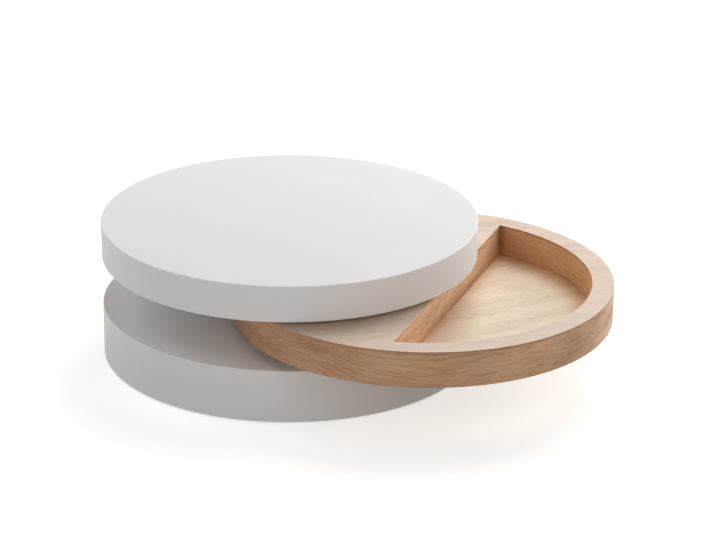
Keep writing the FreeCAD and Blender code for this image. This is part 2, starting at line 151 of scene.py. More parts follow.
def pocket_outline(centre_x, radius, plane):
    """The D inside a circle and beyond a plane at a distance from the circle's centre."""

    def arc(inset):
        """The directions in which the arc's points lie from the circle's centre."""
        half = math.acos((plane + inset) / (radius - inset))
        angles = [half * (2 * index / arc_segments - 1) for index in range(arc_segments + 1)]
        return [(math.cos(angle), math.sin(angle)) for angle in angles]

    def at(inset):
        reach = radius - inset
        points = [(centre_x + reach * x, reach * y) for x, y in arc(inset)]
        x, end = points[-1]
        for index in range(1, straight_segments):
            points.append((x, end * (1 - 2 * index / straight_segments)))
        return points

    along, towards_pivot = arc(0.0), (-1.0, 0.0)
    outward = list(zip(along[:-1], along[1:]))
    outward += [(towards_pivot, towards_pivot)] * straight_segments
    return Outline(at, outward)


def turned(x, y, angle, centre_x=0.0):
    """A point or direction turned about (centre_x, 0)."""
    away = x - centre_x
    return (centre_x + away * math.cos(angle) - y * math.sin(angle),
            away * math.sin(angle) + y * math.cos(angle))


class Shape:
    """The points and faces of one piece, with the normal at every corner of every face."""

    def __init__(self):
        self.points = []
        self.faces = []
        self.normals = []
        self.materials = []

    def loop(self, outline, inset, level):
        first = len(self.points)
        self.points += [(x, y, level) for x, y in outline.at(inset)]
        return list(range(first, len(self.points)))

    def face(self, corners, normals, material=0):
        self.faces.append(corners)
        self.normals += normals
        self.materials.append(material)

    def sweep(self, outline, profile, closed=False, material_of=None):
        """Walls along an outline, through a profile of stations (inset, level, tilt).

        Two stations at one place with different tilts make a sharp edge. Returns the loops of
        the first and the last station."""
        loops = []
        for index, (inset, level, _) in enumerate(profile):
            if index and profile[index - 1][:2] == (inset, level):
                loops.append(loops[-1])
            elif closed and index and profile[0][:2] == (inset, level):
                loops.append(loops[0])
            else:
                loops.append(self.loop(outline, inset, level))
        pairs = list(zip(range(len(loops)), range(1, len(loops))))
        if closed:
            pairs.append((len(loops) - 1, 0))
        for low, high in pairs:
            if loops[low] != loops[high]:
                tilts = (profile[low][2], profile[high][2])
                self.band(outline, loops[low], loops[high], tilts, material_of)
        return loops[0], loops[-1]

    def band(self, outline, low, high, tilts, material_of):
        """The faces between two loops, each of which has its own tilt."""
        low_tilt, high_tilt = tilts
        for index, (start, end) in enumerate(outline.outward):
            after = (index + 1) % len(low)
            corners = (low[index], low[after], high[after], high[index])
            facing = ((start, low_tilt), (end, low_tilt), (end, high_tilt), (start, high_tilt))
            normals = [(x * out, y * out, up) for (x, y), (out, up) in facing]
            self.face(corners, normals, material_of(index) if material_of else 0)

    def cap(self, loops, upward):
        """A flat face inside the first loop and outside the others."""
        numbers, borders = [], []
        for loop in loops:
            borders.append(list(range(len(numbers), len(numbers) + len(loop))))
            numbers += loop
        flat = [Vector(self.points[number][:2]) for number in numbers]
        made = delaunay_2d_cdt(flat, [], borders, INSIDE, EPSILON)
        triangles, origins, loops_round = made[2], made[3], made[5]
        normal = (0.0, 0.0, 1.0 if upward else -1.0)
        for triangle, around in zip(triangles, loops_round):
            if list(around) != [0]:
                continue
            corners = [numbers[origins[index][0]] for index in triangle]
            a, b, c = [Vector(self.points[number][:2]) for number in corners]
            if ((b - a).cross(c - a) > 0) != upward:
                corners.reverse()
            self.face(tuple(corners), [normal] * 3)

    def swing_out(self):
        """Turns a piece of the tray from straight out to where the tray stands."""
        self.points = [(*turned(x, y, swing, pivot_x), z) for x, y, z in self.points]
        self.normals = [(*turned(x, y, swing), z) for x, y, z in self.normals]

    def make(self, name, materials, body, node):
        """Makes the piece, which rides on a body in place of that CAD node."""
        if body == "tray":
            self.swing_out()
        mesh = bpy.data.meshes.new(name)
        mesh.from_pydata(self.points, [], self.faces)
        for material in materials:
            mesh.materials.append(material)
        mesh.polygons.foreach_set("material_index", self.materials)
        mesh.polygons.foreach_set("use_smooth", [True] * len(self.faces))
        mesh.normals_split_custom_set(self.normals)
        piece = bpy.data.objects.new(name, mesh)
        bpy.context.scene.collection.objects.link(piece)
        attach(piece, body)
        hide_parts(node)


def quarter_round(inset, level, radius, first_angle):
    """The stations of a rounded edge about its centre. An angle of 0 faces outward."""
    stations = []
    for step in range(round_steps + 1):
        angle = first_angle + QUARTER_TURN * step / round_steps
        out, up = math.cos(angle), math.sin(angle)
        stations.append((inset - radius * out, level + radius * up, (out, up)))
    return stations


def outer_wall(low, high, low_round, high_round):
    """The stations up an outer wall, each of its two edges rounded or sharp."""
    foot, head = [(0.0, low, OUTWARD)], [(0.0, high, OUTWARD)]
    if low_round:
        foot = quarter_round(low_round, low + low_round, low_round, -QUARTER_TURN)
    if high_round:
        head = quarter_round(high_round, high - high_round, high_round, 0.0)
    return foot + head


def inner_wall(inset, high, low, high_round):
    """The stations from a flat top down an inner wall, rounded at its upper edge."""
    head = quarter_round(inset - high_round, high - high_round, high_round, QUARTER_TURN)
    return head + [(inset, low, INWARD)]


def band_profile(low, high, thickness, edge_round=0.0):
    """The closed profile of an upright band, its outer edges rounded or sharp."""
    profile = outer_wall(low, high, edge_round, edge_round)
    if not edge_round:
        profile = [(0.0, low, DOWNWARD)] + profile + [(0.0, high, UPWARD)]
    profile += [(thickness, high, UPWARD), (thickness, high, INWARD)]
    profile += [(thickness, low, INWARD), (thickness, low, DOWNWARD)]
    return profile


def panel(shape, outline, low, high, holes, low_round=0.0, high_round=0.0, blind=(), blind_top=0.0):
    """A flat panel with through holes, and blind holes from below."""
    bottom, top = shape.sweep(outline, outer_wall(low, high, low_round, high_round))
    hole_tops, hole_bottoms = [], []
    for hole in holes:
        hole_top, hole_bottom = shape.sweep(hole, [(0.0, high, INWARD), (0.0, low, INWARD)])
        hole_tops.append(hole_top)
        hole_bottoms.append(hole_bottom)
    for hole in blind:
        hole_top, hole_bottom = shape.sweep(hole, [(0.0, blind_top, INWARD), (0.0, low, INWARD)])
        shape.cap([hole_top], upward=False)
        hole_bottoms.append(hole_bottom)
    shape.cap([top] + hole_tops, upward=True)
    shape.cap([bottom] + hole_bottoms, upward=False)


# ---- Materials: how they are made ------------------------------------------------------------

class Recipe:
    """A material being made: each call adds a node and gives its output."""

    def __init__(self, name):
        self.material = bpy.data.materials.new(name)
        self.material.use_nodes = True
        self.tree = self.material.node_tree
        self.shader = self.tree.nodes["Principled BSDF"]
        self.coordinates = self.add("TexCoord")
        self.position = self.coordinates.outputs["Object"]

    def add(self, kind, inputs=(), **settings):
        node = self.tree.nodes.new("ShaderNode" + kind)
        for key, value in settings.items():
            setattr(node, key, value)
        for key, value in dict(inputs).items():
            self.feed(node.inputs[key], value)
        return node

    def feed(self, socket, value):
        """Links an output to a socket, or sets the socket to a value."""
        if isinstance(value, bpy.types.NodeSocket):
            self.tree.links.new(value, socket)
        else:
            socket.default_value = value

    def upward(self):
        """How far the surface faces up: 1 where it is level and 0 where it is upright."""
        return self.split(self.coordinates.outputs["Normal"])[2]

    def math(self, operation, first, second=0.0):
        return self.add("Math", {0: first, 1: second}, operation=operation).outputs[0]

    def times(self, first, second):
        return self.math("MULTIPLY", first, second)

    def less(self, first, second):
        return self.math("SUBTRACT", first, second)

    def total(self, start, *terms):
        """start and each (output, middle, weight) added up: weight * (output - middle)."""
        value = start
        for output, middle, weight in terms:
            value = self.math("ADD", self.times(self.less(output, middle), weight), value)
        return value

    def lowest(self, *values):
        lowest = values[0]
        for value in values[1:]:
            lowest = self.math("MINIMUM", lowest, value)
        return lowest

    def highest(self, *values):
        highest = values[0]
        for value in values[1:]:
            highest = self.math("MAXIMUM", highest, value)
        return highest

    def away(self, value, place):
        """How far a value is from a place, to either side."""
        return self.math("ABSOLUTE", self.less(value, place))

    def length(self, x, y):
        """The length of a level vector."""
        return self.math("SQRT", self.math("ADD", self.times(x, x), self.times(y, y)))

    def scaled(self, vector, scale):
        return self.add("VectorMath", {0: vector, 1: scale}, operation="MULTIPLY").outputs[0]

    def moved(self, vector, offset):
        return self.add("VectorMath", {0: vector, 1: offset}, operation="ADD").outputs[0]

    def turned(self, vector, angle, centre_x=0.0):
        inputs = {"Vector": vector, "Center": (centre_x, 0.0, 0.0), "Angle": angle}
        return self.add("VectorRotate", inputs, rotation_type="Z_AXIS").outputs[0]

    def split(self, vector):
        outputs = self.add("SeparateXYZ", {0: vector}).outputs
        return outputs[0], outputs[1], outputs[2]

    def joined(self, x, y, z):
        return self.add("CombineXYZ", {0: x, 1: y, 2: z}).outputs[0]

    def noise(self, vector, scale, detail=2.0, roughness=0.5):
        """Noise about MIDDLE. scale is one number or one for each axis, in waves to a metre."""
        if isinstance(scale, tuple):
            vector, scale = self.scaled(vector, scale), 1.0
        inputs = {"Vector": vector, "Scale": scale, "Detail": detail, "Roughness": roughness}
        return self.add("TexNoise", inputs).outputs["Fac"]

    def spread(self, value, low, high, new_low=0.0, new_high=1.0, kind="LINEAR"):
        """Maps low to high onto the new range, and holds it there."""
        inputs = {"Value": value, "From Min": low, "From Max": high}
        inputs.update({"To Min": new_low, "To Max": new_high})
        return self.add("MapRange", inputs, interpolation_type=kind, clamp=True).outputs[0]

    def rising(self, value, low, high, most=1.0):
        """0 up to low, most from high on, and smooth between."""
        return self.spread(value, low, high, 0.0, most, "SMOOTHSTEP")

    def fading(self, value, low, high, most=1.0):
        """most up to low, 0 from high on, and smooth between."""
        return self.spread(value, low, high, most, 0.0, "SMOOTHSTEP")

    def ramp(self, value, stops):
        """A colour for each value, from stops of (value, colour)."""
        node = self.add("ValToRGB", {"Fac": value})
        elements = node.color_ramp.elements
        elements[0].position, elements[0].color = stops[0][0], (*stops[0][1], 1.0)
        elements[1].position, elements[1].color = stops[-1][0], (*stops[-1][1], 1.0)
        for place, colour in stops[1:-1]:
            elements.new(place).color = (*colour, 1.0)
        return node.outputs["Color"]

    def blend(self, factor, first, second, kind="MIX"):
        """Two colours mixed, each an output or a plain colour."""
        node = self.add("Mix", {"Factor": factor}, data_type="RGBA", blend_type=kind)
        sockets = [socket for socket in node.inputs if socket.type == "RGBA"]
        for socket, value in zip(sockets, (first, second)):
            self.feed(socket, (*value, 1.0) if isinstance(value, tuple) else value)
        return [socket for socket in node.outputs if socket.type == "RGBA"][0]

    def stained(self, colour, darkening):
        return self.blend(1.0, colour, darkening, "MULTIPLY")

    def finish(self, colour, roughness, height, depth, **constants):
        """Feeds the shader: colour, roughness and a bump of that depth, and constants by name."""
        self.tree.links.new(colour, self.shader.inputs["Base Color"])
        self.tree.links.new(roughness, self.shader.inputs["Roughness"])
        bump = self.add("Bump", {"Height": height, "Distance": depth})
        self.tree.links.new(bump.outputs[0], self.shader.inputs["Normal"])
        for key, value in constants.items():
            self.shader.inputs[key].default_value = value
        return self.material


MIDDLE = 0.5                   # of a noise
MOST = (0.3, 0.7)              # the range in which most of a noise lies
METAL = {"Metallic": 1.0}
FAINT_GLOSS = {"Specular IOR Level": 0.35}


def shaded(colour, share):
    return tuple(value * share for value in colour)


# ---- Materials: lacquer ----------------------------------------------------------------------

LACQUER = (0.797, 0.795, 0.793)
# Paler lacquer for the painted highlight along the discs' edges.
EDGE_HIGHLIGHT_LACQUER = (0.88, 0.875, 0.865)


def edge_highlight(recipe):
    """Where a white disc's edges are painted paler, a painted highlight: patches of a line 3 mm
    wide.
    """
    x, y, z = recipe.split(recipe.position)
    levels = (drum_low, drum_high, top_low, top_high)
    from_edge = recipe.lowest(*[recipe.away(z, level) for level in levels])
    from_side = recipe.away(recipe.length(x, y), disc_radius)
    near_edge = recipe.fading(recipe.highest(from_edge, from_side), 1.0 * MM, 3.0 * MM)
    patches = recipe.noise(recipe.position, 38.0, detail=4.0, roughness=0.65)
    return recipe.times(near_edge, recipe.spread(patches, 0.40, 0.62))


def white_lacquer():
    """Satin white lacquer: faint unevenness, fine orange peel, and a painted highlight of paler
    lacquer along the edges here and there.
    """
    recipe = Recipe("white_lacquer")
    cloud = recipe.noise(recipe.position, 5.0, detail=3.0)
    dark, light = shaded(LACQUER, 0.985), shaded(LACQUER, 1.012)
    colour = recipe.ramp(cloud, list(zip(MOST, (dark, light))))
    edge_light = edge_highlight(recipe)
    # Paler along the edges: a painted highlight.
    colour = recipe.blend(recipe.times(edge_light, 0.5), colour, EDGE_HIGHLIGHT_LACQUER)

    smudge = recipe.noise(recipe.position, 26.0, detail=5.0, roughness=0.6)
    roughness = recipe.spread(smudge, *MOST, 0.56, 0.66)
    roughness = recipe.less(roughness, recipe.times(edge_light, 0.10))
    peel = recipe.noise(recipe.position, 420.0, detail=1.0)
    return recipe.finish(colour, roughness, peel, 0.008 * MM, **FAINT_GLOSS)


# ---- Materials: oak --------------------------------------------------------------------------

# Noises in the wood, in waves to a metre along its grain, across it and into it.
WANDER = (3.2, 6.0, 6.0)
DRIFT = (3.0, 11.0, 11.0)
PATCHES = (5.0, 26.0, 26.0)
HUES = (9.0, 40.0, 40.0)
STREAKS = (32.0, 330.0, 330.0)
PORES = (60.0, 1500.0, 1500.0)

RINGS = 120.0                  # year rings to a metre
RING_DRIFT = 13.0              # how many rings their places drift by

REDDISH, PLAIN, GREENISH = (1.0, 0.955, 0.95), (1.0, 0.99, 0.98), (0.975, 0.975, 0.92)
SHADE_AND_HANDLING = (0.66, 0.50, 0.38)      # of oak under painted shade, and where hands have darkened it
FLOOR_SHADE = (0.94, 0.71, 0.50)      # painted shade on the pocket's floor along its walls


def oak_tones(middle, contrast):
    """Light, middle and dark oak of one surface. Its dark streaks are redder as well."""
    light = shaded(middle, 1 + 0.32 * contrast)
    losses = (0.36, 0.50, 0.60)
    dark = tuple(value * (1 - loss * contrast) for value, loss in zip(middle, losses))
    return [(0.25, light), (MIDDLE, middle), (0.8, dark)]


def year_rings(recipe, fibre, across):
    """Where the early wood of the year rings is, which is darker and has more pores."""
    drift = recipe.noise(fibre, DRIFT, detail=2.0)
    place = recipe.total(recipe.times(across, RINGS), (drift, MIDDLE, RING_DRIFT))
    ring = recipe.math("FRACT", place)
    return recipe.times(recipe.rising(ring, 0.0, 0.12), recipe.fading(ring, 0.10, 0.7))


def oak_figure(recipe, grain, wave, figure, mottle):
    """The tone of oak, about MIDDLE and higher where it is darker, and its pores.

    grain has the grain along X, the width along Y and the depth along Z, in metres. wave is how
    far the grain wanders sideways, figure how strongly the year rings show, and mottle how
    strongly lighter and darker patches do."""
    wander = recipe.noise(grain, WANDER, detail=2.0, roughness=0.45)
    along, across, depth = recipe.split(grain)
    bent = recipe.total(across, (wander, MIDDLE, 2 * wave))
    fibre = recipe.joined(along, bent, depth)
    early = year_rings(recipe, fibre, bent)
    patch = recipe.noise(fibre, PATCHES, detail=3.0)
    streak = recipe.noise(fibre, STREAKS, detail=4.0, roughness=0.62)
    pore = recipe.rising(recipe.noise(fibre, PORES, detail=1.0), 0.52, 0.66)
    pores = recipe.times(pore, recipe.spread(early, 0.0, 1.0, 0.2, 1.0))
    tone = recipe.total(MIDDLE, (streak, MIDDLE, 0.8), (patch, MIDDLE, mottle),
                        (early, 0.35, figure), (pores, 0.1, 0.25))
    return tone, pores


def unmarked(recipe, place):
    return 0.0


def oak(name, grain_of, wall, face, wave=0.012, figure=0.10, mottle=0.6, shade_and_marks_of=unmarked,
        darkening=SHADE_AND_HANDLING):
    """Clear-finished oak. wall and face are the tones of upright and of level surfaces, upright
    ones darker as painted shade and level ones paler as painted light. shade_and_marks_of tells
    where painted shade and marks darken it, and stain what that does to its colour."""
    recipe = Recipe(name)
    at_rest = recipe.turned(recipe.position, -swing, pivot_x)
    place = recipe.moved(at_rest, (-tray_x, 0.0, 0.0))
    grain = grain_of(recipe, place)
    tone, pores = oak_figure(recipe, grain, wave, figure, mottle)
    # Upright surfaces take the darker wall tones and level ones the paler face tones: painted shade
    # and painted light, which gives rounded top edges a painted highlight.
    level = recipe.rising(recipe.upward(), 0.2, 0.9)
    colour = recipe.blend(level, recipe.ramp(tone, wall), recipe.ramp(tone, face))
    hue = recipe.noise(grain, HUES, detail=3.0)
    tint = recipe.ramp(hue, [(0.35, REDDISH), (MIDDLE, PLAIN), (0.65, GREENISH)])
    colour = recipe.stained(colour, tint)
    # Darker where painted shade and marks fall.
    colour = recipe.blend(shade_and_marks_of(recipe, place), colour, recipe.stained(colour, darkening))
    roughness = recipe.spread(tone, 0.3, 0.8, 0.44, 0.60)
    height = recipe.less(recipe.times(tone, 0.5), pores)
    return recipe.finish(colour, roughness, height, 0.03 * MM)


def shade_line_under_edge(recipe, z, edge):
    """A thin dark line just below an edge: painted shade."""
    return recipe.times(recipe.rising(z, edge - 6.0 * MM, edge - 2.5 * MM),
                        recipe.fading(z, edge - 1.6 * MM, edge - 0.6 * MM))


def side_shade_and_marks(recipe, place):
    """The tray's outer side: a painted shade line under its edge, and where hands have darkened it.
    """
    x, y, z = recipe.split(place)
    # A painted shade line under the lipping's edge.
    line = recipe.times(shade_line_under_edge(recipe, z, lipping_high.z), 0.55)
    touched = recipe.noise(place, 16.0, detail=4.0, roughness=0.6)
    return recipe.highest(line, recipe.spread(touched, 0.5, 0.75, 0.0, 0.25))


def from_walls(recipe, place):
    """How far a place in the pocket is from the curved and from the straight wall's lining."""
    x, y, z = recipe.split(place)
    curved = recipe.less(pocket_back_radius - lining_thickness, recipe.length(x, y))
    return curved, recipe.less(x, pocket_back_plane + lining_thickness)


def wall_painted_shade(foot_reach, foot_share):
    """The painted shade of a pocket wall: a line under its edge, the corner, and darker that far
    and that much from its foot upwards.
    """
    def shade_and_marks_of(recipe, place):
        x, y, z = recipe.split(place)
        # A painted shade line under the pocket's edge.
        line = recipe.times(shade_line_under_edge(recipe, z, lining_high.z), 0.9)
        # Painted shade up from the wall's foot.
        foot = recipe.fading(z, floor_high.z, floor_high.z + foot_reach, foot_share)
        # Painted shade in the corner between the two walls.
        corner = recipe.fading(recipe.length(*from_walls(recipe, place)), 2.0 * MM, 26.0 * MM, 0.9)
        return recipe.highest(line, foot, corner)

    return shade_and_marks_of


def floor_painted_shade(recipe, place):
    """The pocket's floor: wide painted shade along the curved wall and a narrow band of it along
    the other.
    """
    curved, straight = from_walls(recipe, place)
    # Painted shade along the walls' feet, where the walls shade the floor.
    return recipe.highest(recipe.fading(curved, 0.0, 75.0 * MM, 0.7),
                          recipe.fading(straight, 0.0, 25.0 * MM, 0.4))


def grain_at(degrees):
    """Level veneer, its grain at an angle from the way the tray stands out."""
    return lambda recipe, place: recipe.turned(place, -math.radians(degrees))


def grain_round(recipe, place):
    """Veneer bent round the tray's centre, its grain along the curve."""
    x, y, z = recipe.split(place)
    along = recipe.times(recipe.math("ARCTAN2", y, x), disc_radius)
    return recipe.joined(along, z, recipe.length(x, y))


def grain_across(recipe, place):
    """Upright veneer on the pocket's straight side."""
    x, y, z = recipe.split(place)
    return recipe.joined(y, z, x)


# ---- Materials: what carries the table -------------------------------------------------------

def raw_board():
    """Unfinished fibreboard: fine light and dark fibres."""
    recipe = Recipe("raw_board")
    fibres = recipe.noise(recipe.position, 700.0, detail=3.0, roughness=0.7)
    cloud = recipe.noise(recipe.position, 14.0, detail=3.0)
    value = recipe.total(0.5, (fibres, MIDDLE, 1.2), (cloud, MIDDLE, 0.6))
    dark, middle, light = (0.44, 0.34, 0.24), (0.56, 0.45, 0.33), (0.66, 0.55, 0.43)
    colour = recipe.ramp(value, [(0.3, dark), (0.5, middle), (0.75, light)])
    return recipe.finish(colour, recipe.spread(fibres, *MOST, 0.75, 0.92), fibres, 0.08 * MM)


def birch_plywood():
    """Laminated birch: thin layers, every other one end grain and darker."""
    recipe = Recipe("birch_plywood")
    x, y, z = recipe.split(recipe.position)
    layer_pairs = 360.0            # to a metre
    waver = recipe.noise(recipe.position, 9.0, detail=2.0)
    place = recipe.total(recipe.times(z, layer_pairs), (waver, MIDDLE, 0.5))
    layer = recipe.math("FRACT", place)
    dark_layer = recipe.times(recipe.rising(layer, 0.46, 0.52), recipe.fading(layer, 0.94, 1.0))
    grain = recipe.noise(recipe.position, (6.0, 220.0, 220.0), detail=4.0, roughness=0.6)
    value = recipe.total(0.45, (grain, MIDDLE, 0.9), (dark_layer, 0.5, 0.22))
    light, middle, dark = (0.74, 0.60, 0.42), (0.64, 0.49, 0.32), (0.42, 0.28, 0.17)
    colour = recipe.ramp(value, [(0.25, light), (0.5, middle), (0.8, dark)])
    return recipe.finish(colour, recipe.spread(grain, *MOST, 0.6, 0.8), value, 0.06 * MM)


def black_steel():
    """Black powder coat: fine pebbled skin, greyer where it has been rubbed."""
    recipe = Recipe("black_steel")
    pebble = recipe.noise(recipe.position, 1100.0, detail=2.0)
    scuff = recipe.noise(recipe.position, 60.0, detail=5.0, roughness=0.7)
    black, dull, rubbed = (0.028, 0.028, 0.029), (0.045, 0.045, 0.046), (0.11, 0.11, 0.11)
    colour = recipe.ramp(scuff, [(0.4, black), (0.62, dull), (0.75, rubbed)])
    roughness = recipe.spread(scuff, 0.35, 0.7, 0.58, 0.42)
    return recipe.finish(colour, roughness, pebble, 0.05 * MM)


def turned_steel():
    """Ground bright steel: fine grooves round the pivot."""
    recipe = Recipe("bearing_steel")
    x, y, z = recipe.split(recipe.moved(recipe.position, (-pivot_x, 0.0, 0.0)))
    place = recipe.joined(recipe.length(x, y), z, 0.0)
    grooves = recipe.noise(place, 3600.0, detail=2.0)
    film = recipe.noise(recipe.position, 45.0, detail=4.0)
    colour = recipe.ramp(film, [(0.35, (0.52, 0.51, 0.50)), (0.65, (0.64, 0.64, 0.65))])
    roughness = recipe.total(0.28, (grooves, MIDDLE, 0.25), (film, MIDDLE, 0.3))
    return recipe.finish(colour, roughness, grooves, 0.01 * MM, **METAL)


def zinc_steel():
    """Bright zinc plate: small cloudy crystals, bluish and yellowish."""
    recipe = Recipe("zinc_steel")
    crystals = recipe.add("TexVoronoi", {"Vector": recipe.position, "Scale": 420.0})
    crystal = crystals.outputs["Distance"]
    cloud = recipe.noise(recipe.position, 90.0, detail=4.0)
    bluish, plain, yellowish = (0.60, 0.62, 0.66), (0.68, 0.68, 0.67), (0.70, 0.66, 0.56)
    colour = recipe.ramp(cloud, [(0.35, bluish), (0.55, plain), (0.7, yellowish)])
    roughness = recipe.spread(crystal, 0.0, 0.9, 0.26, 0.48)
    return recipe.finish(colour, roughness, crystal, 0.02 * MM, **METAL)


def brass():
    """Turned brass: rings along the insert, and a little tarnish."""
    recipe = Recipe("brass_insert")
    x, y, z = recipe.split(recipe.position)
    rings = recipe.noise(recipe.joined(0.0, 0.0, z), 2600.0, detail=2.0)
    tarnish = recipe.noise(recipe.position, 120.0, detail=4.0, roughness=0.6)
    bright, dull, tarnished = (0.78, 0.60, 0.28), (0.66, 0.47, 0.20), (0.40, 0.27, 0.12)
    colour = recipe.ramp(tarnish, [(0.4, bright), (0.6, dull), (0.75, tarnished)])
    roughness = recipe.spread(tarnish, 0.35, 0.7, 0.24, 0.46)
    return recipe.finish(colour, roughness, rings, 0.02 * MM, **METAL)


def nylon(name, light, dark, rough, depth):
    """Moulded nylon: faint flow marks and a fine spark-eroded skin."""
    recipe = Recipe(name)
    flow = recipe.noise(recipe.position, (60.0, 60.0, 20.0), detail=4.0)
    skin = recipe.noise(recipe.position, 1500.0, detail=2.0)
    value = recipe.total(0.5, (flow, MIDDLE, 1.0), (skin, MIDDLE, 0.5))
    colour = recipe.ramp(value, list(zip(MOST, (dark, light))))
    return recipe.finish(colour, recipe.spread(flow, *MOST, rough, rough + 0.14), skin, depth)


# ---- Materials: the finishes -----------------------------------------------------------------

# The oak's tones differ by surface as painted light and shade: the level deck and floor paler, the
# upright side and walls darker and redder.
deck_tones = oak_tones((0.625, 0.502, 0.400), 0.50)
floor_tones = oak_tones((0.785, 0.66, 0.505), 0.52)
side_tones = oak_tones((0.485, 0.288, 0.156), 0.95)
round_wall_tones = oak_tones((0.625, 0.375, 0.200), 0.60)
straight_wall_tones = oak_tones((0.66, 0.425, 0.252), 0.80)
lining_top_highlight_tones = oak_tones((0.70, 0.49, 0.36), 0.30)       # the level top and rounded edge of the pocket's lining, paler: a painted highlight

lacquer = white_lacquer()
deck_oak = oak("oak_deck", grain_at(35.0), deck_tones, deck_tones, figure=0.04)
floor_oak = oak("oak_floor", grain_at(48.0), floor_tones, floor_tones,
                mottle=0.7, shade_and_marks_of=floor_painted_shade, darkening=FLOOR_SHADE)
edge_oak = oak("oak_edge", grain_round, side_tones, deck_tones, mottle=0.85, shade_and_marks_of=side_shade_and_marks)
round_wall_oak = oak("oak_round_wall", grain_round, round_wall_tones, lining_top_highlight_tones,
                     wave=0.02, figure=0.22, shade_and_marks_of=wall_painted_shade(26.0 * MM, 0.2))
straight_wall_oak = oak("oak_straight_wall", grain_across, straight_wall_tones, lining_top_highlight_tones,
                        figure=0.16, mottle=1.0, shade_and_marks_of=wall_painted_shade(36.0 * MM, 0.85))

CARRIED_FINISHES = {
    "raw_board": raw_board(),
    "birch_plywood": birch_plywood(),
    "black_steel": black_steel(),
    "bearing_steel": turned_steel(),
    "zinc_steel": zinc_steel(),
    "brass_insert": brass(),
    "white_nylon": nylon("white_nylon", (0.80, 0.79, 0.74), (0.70, 0.69, 0.64), 0.38, 0.02 * MM),
    "grey_nylon": nylon("grey_nylon", (0.085, 0.085, 0.09), (0.055, 0.055, 0.06), 0.5, 0.05 * MM),
}


def finish_carried_nodes():
    """Gives each node that keeps its own shape the finish of its slot."""
    for entry in frame["record"]["subparts"]:
        finish = CARRIED_FINISHES.get(entry["material_slot"])
        if finish:
            materials = frame["nodes"][entry["node"]].data.materials
            for index in range(len(materials)):
                materials[index] = finish


# ---- Visible pieces --------------------------------------------------------------------------

def white_disc(lower, side, upper, lower_holes, upper_holes, blind=(), blind_top=0.0):
    """The drum or the top: a lower panel, a side band and an upper panel."""
    outline = circle(0.0, 0.0, disc_radius, rim_segments)
    low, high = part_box(lower)
    shape = Shape()
    panel(shape, outline, low.z, high.z, lower_holes, low_round=lacquered_edge,
          blind=blind, blind_top=blind_top)
    shape.make(lower + "_lacquered", [lacquer], "base", lower)

    low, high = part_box(side)
    shape = Shape()
    shape.sweep(outline, band_profile(low.z, high.z, band_thickness), closed=True)
    shape.make(side + "_lacquered", [lacquer], "base", side)

    low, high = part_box(upper)
    shape = Shape()
    panel(shape, outline, low.z, high.z, upper_holes, high_round=lacquered_edge)
    shape.make(upper + "_lacquered", [lacquer], "base", upper)


def white_discs():
    """The drum and the top, with holes for what goes into or through their panels."""
    access = round_hole(pivot_x, 0.0, access_hole)
    sockets = [round_hole(pivot_x, 0.0, socket_hole)]
    sockets += holes_on_circle(flange_screws, screw_circle, pivot_x, flange_screw_start,
                               flange_screw_hole)
    stems = [round_hole(0.0, 0.0, glide_stem_hole)]
    stems += holes_on_circle(glides, glide_circle, 0.0, glide_start, glide_stem_hole)
    white_disc("base_bottom_panel", "base_side_band", "base_top_panel", [access], sockets,
               blind=stems, blind_top=glides_high.z)
    white_disc("top_lower_panel", "top_side_band", "top_upper_panel", sockets, [])


def tray_edge():
    """The lipping round the outside of the tray."""
    profile = band_profile(lipping_low.z, lipping_high.z, lining_thickness, oak_edge)
    shape = Shape()
    shape.sweep(circle(tray_x, 0.0, disc_radius, rim_segments), profile, closed=True)
    shape.make("tray_edge_oak", [edge_oak], "tray", "tray_edge_lipping")


def tray_panels(pocket):
    """The deck, with the pocket cut out of it, and the floor panel."""
    outline = circle(tray_x, 0.0, panel_radius, rim_segments)
    hub = round_hole(pivot_x, 0.0, hub_hole)
    shape = Shape()
    panel(shape, outline, deck_low.z, deck_high.z, [pocket, hub])
    shape.make("tray_deck_oak", [deck_oak], "tray", "tray_deck")

    screws = holes_on_circle(hub_screws, screw_circle, pivot_x, hub_screw_start, hub_screw_hole)
    shape = Shape()
    panel(shape, outline, floor_low.z, floor_high.z, [hub] + screws)
    shape.make("tray_floor_oak", [floor_oak], "tray", "tray_floor_panel")


def tray_pocket(pocket):
    """The pocket's lining. Its straight wall comes last and has an oak of its own."""
    low, high = lining_low.z, lining_high.z
    profile = [(0.0, low, DOWNWARD), (0.0, low, OUTWARD), (0.0, high, OUTWARD), (0.0, high, UPWARD)]
    profile += inner_wall(lining_thickness, high, low, pocket_edge)
    profile.append((lining_thickness, low, DOWNWARD))
    shape = Shape()
    shape.sweep(pocket, profile, closed=True, material_of=lambda index: int(index >= arc_segments))
    shape.make("tray_pocket_oak", [round_wall_oak, straight_wall_oak], "tray",
               "tray_pocket_lining")


finish_carried_nodes()
white_discs()
tray_edge()
pocket_hole = pocket_outline(tray_x, pocket_back_radius, pocket_back_plane)
tray_panels(pocket_hole)
tray_pocket(pocket_hole)

# ---- Stage, light and camera -----------------------------------------------------------------

camera_place = (2.5907, -5.0593, 2.4550)
camera_azimuth = math.radians(25.4616)     # to the left of +Y
camera_pitch = math.radians(21.6553)       # down
camera_roll = math.radians(0.5548)
camera_lens = 127.5025                     # millimetres
sensor_width = 36.0                        # millimetres

sky_colour = (1.0, 1.0, 1.0)               # seen, but it doesn't light the table
floor_size = 60.0
floor_colour = (0.80, 0.80, 0.80)
floor_roughness = 0.9
floor_glow = 0.55                          # added where the camera or a reflection sees the floor
far_glow = 1.0                             # and far from the table, where the lamps don't reach
glow_start, glow_end = 1.5, 6.0            # from the drum's centre
lamp_distance = 4.0                        # from the pivot, at the deck's height
lamp_side = 2.6

NEUTRAL, WARM = (1.0, 1.0, 1.0), (1.05, 0.995, 0.96)

